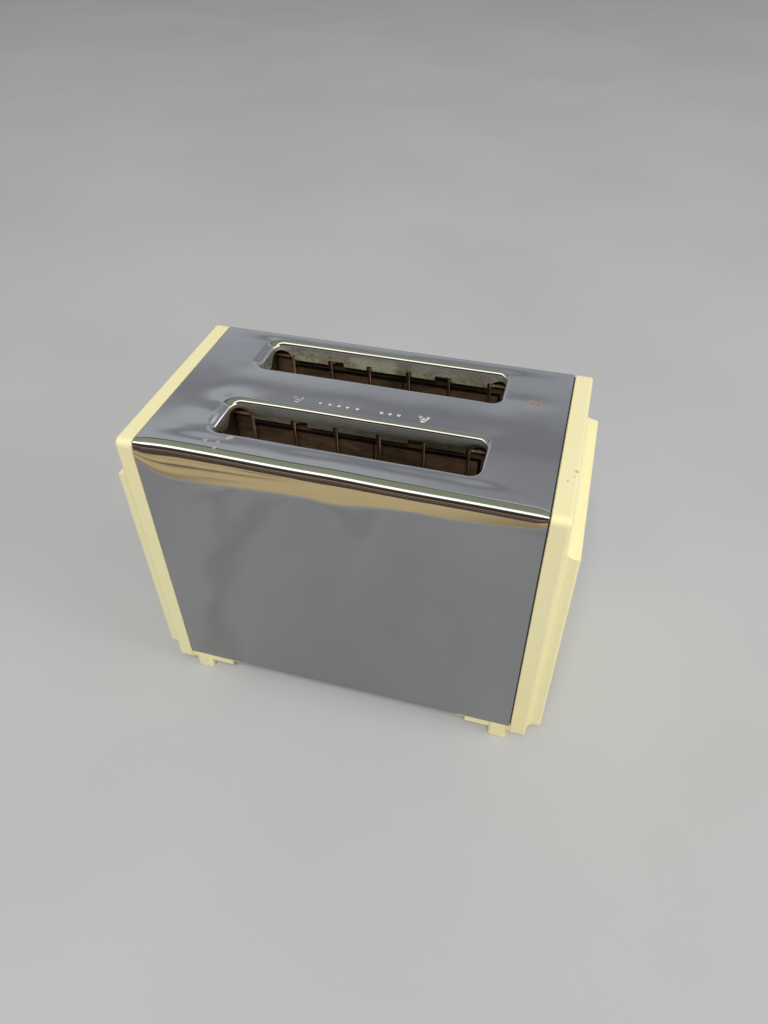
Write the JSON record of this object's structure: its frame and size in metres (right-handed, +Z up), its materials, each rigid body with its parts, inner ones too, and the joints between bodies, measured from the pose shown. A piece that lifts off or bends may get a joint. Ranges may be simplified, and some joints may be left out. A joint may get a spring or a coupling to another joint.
{
  "type": "two-slot toaster",
  "caption": "Pop-up toaster with a bright wrap-round shell, moulded cream end panels, side lever, browning dial and hinged crumb tray.",
  "frame": {"origin": "bottom centre of the whole part with its lever knob, on the plane of the feet's undersides; the middle of the body is 12 mm from it towards +X", "axes": "+X along the bread slots to the plain end (lever at -X), +Y across the slots to the rear, +Z up"},
  "size_m": [0.268, 0.1234, 0.186],
  "materials": {
    "bright_shell": "polished plate with light wear",
    "cream_moulding": "satin moulded plastic",
    "plated_steel": "zinc plated sheet",
    "dark_steel": "dark heat-stained sheet",
    "heater_card": "pressed mica card",
    "ribbon": "oxidised resistance ribbon",
    "guard_wire": "heat-tinted plated wire",
    "dark_plastic": "moulded phenolic",
    "ceramic_block": "unglazed insulator",
    "contact_metal": "rolled spring brass",
    "bimetal": "rolled bimetal strip",
    "lead_cover": "woven glass sleeve",
    "grey_rubber": "moulded bush"
  },
  "bodies": {
    "chassis": {"chrome_shell": "bright_shell", "control_end_panel": "cream_moulding", "plain_end_panel": "cream_moulding", "base_plate": "dark_steel", "control_end_plate": "plated_steel", "plain_end_plate": "plated_steel", "front_reflector": "plated_steel", "rear_reflector": "plated_steel", "near_outer_card": "heater_card", "near_inner_card": "heater_card", "far_inner_card": "heater_card", "far_outer_card": "heater_card", "near_outer_ribbon": "ribbon", "near_inner_ribbon": "ribbon", "far_inner_ribbon": "ribbon", "far_outer_ribbon": "ribbon", "near_front_guard": "guard_wire", "near_rear_guard": "guard_wire", "far_front_guard": "guard_wire", "far_rear_guard": "guard_wire", "guide_rod": "plated_steel", "rod_bracket": "plated_steel", "control_bracket": "plated_steel", "bimetal_blade": "bimetal", "contact_block": "ceramic_block", "contact_blades": "contact_metal", "live_lead": "lead_cover", "neutral_lead": "lead_cover", "cord_bushing": "grey_rubber", "panel_screws": "plated_steel", "chassis_screws": "plated_steel", "latch_pin": "plated_steel", "tray_hinge_pins": "plated_steel"},
    "carriage": {"carriage": "plated_steel", "lever_arm": "plated_steel", "lever_knob": "dark_plastic", "near_rack": "plated_steel", "far_rack": "plated_steel", "lift_spring": "plated_steel"},
    "browning_control": {"browning_dial": "dark_plastic", "browning_shaft": "plated_steel", "browning_cam": "contact_metal"},
    "calibration": {"calibration_slide": "plated_steel"},
    "latch": {"latch_lever": "plated_steel"},
    "tray": {"crumb_tray": "dark_steel"}
  },
  "joints": [
    {"name": "lever_slide", "type": "slide", "parent": "chassis", "child": "carriage", "axis": [0, 0, 1], "range_m": [-0.082, 0], "stiffness_N_per_m": 60, "springref_m": 0.05, "deforming": ["lift_spring"]},
    {"name": "browning_turn", "type": "hinge", "parent": "chassis", "child": "browning_control", "pos_m": [0.012, 0, 0.034], "axis": [1, 0, 0], "range_deg": [0, 270]},
    {"name": "calibration_shift", "type": "slide", "parent": "chassis", "child": "calibration", "axis": [0, -1, 0], "range_m": [0, 0.002]},
    {"name": "latch_swing", "type": "hinge", "parent": "chassis", "child": "latch", "pos_m": [-0.0847, -0.012, 0.064], "axis": [0, -1, 0], "range_deg": [0, 5], "stiffness_Nm_per_rad": 0.002},
    {"name": "tray_hinge", "type": "hinge", "parent": "chassis", "child": "tray", "pos_m": [0.012, 0.0475, 0.0118], "axis": [1, 0, 0], "range_deg": [0, 85]}
  ],
  "couplings": [
    {"joint": "calibration_shift", "follows": "browning_turn", "m_per_rad": 0.00042441}
  ]
}
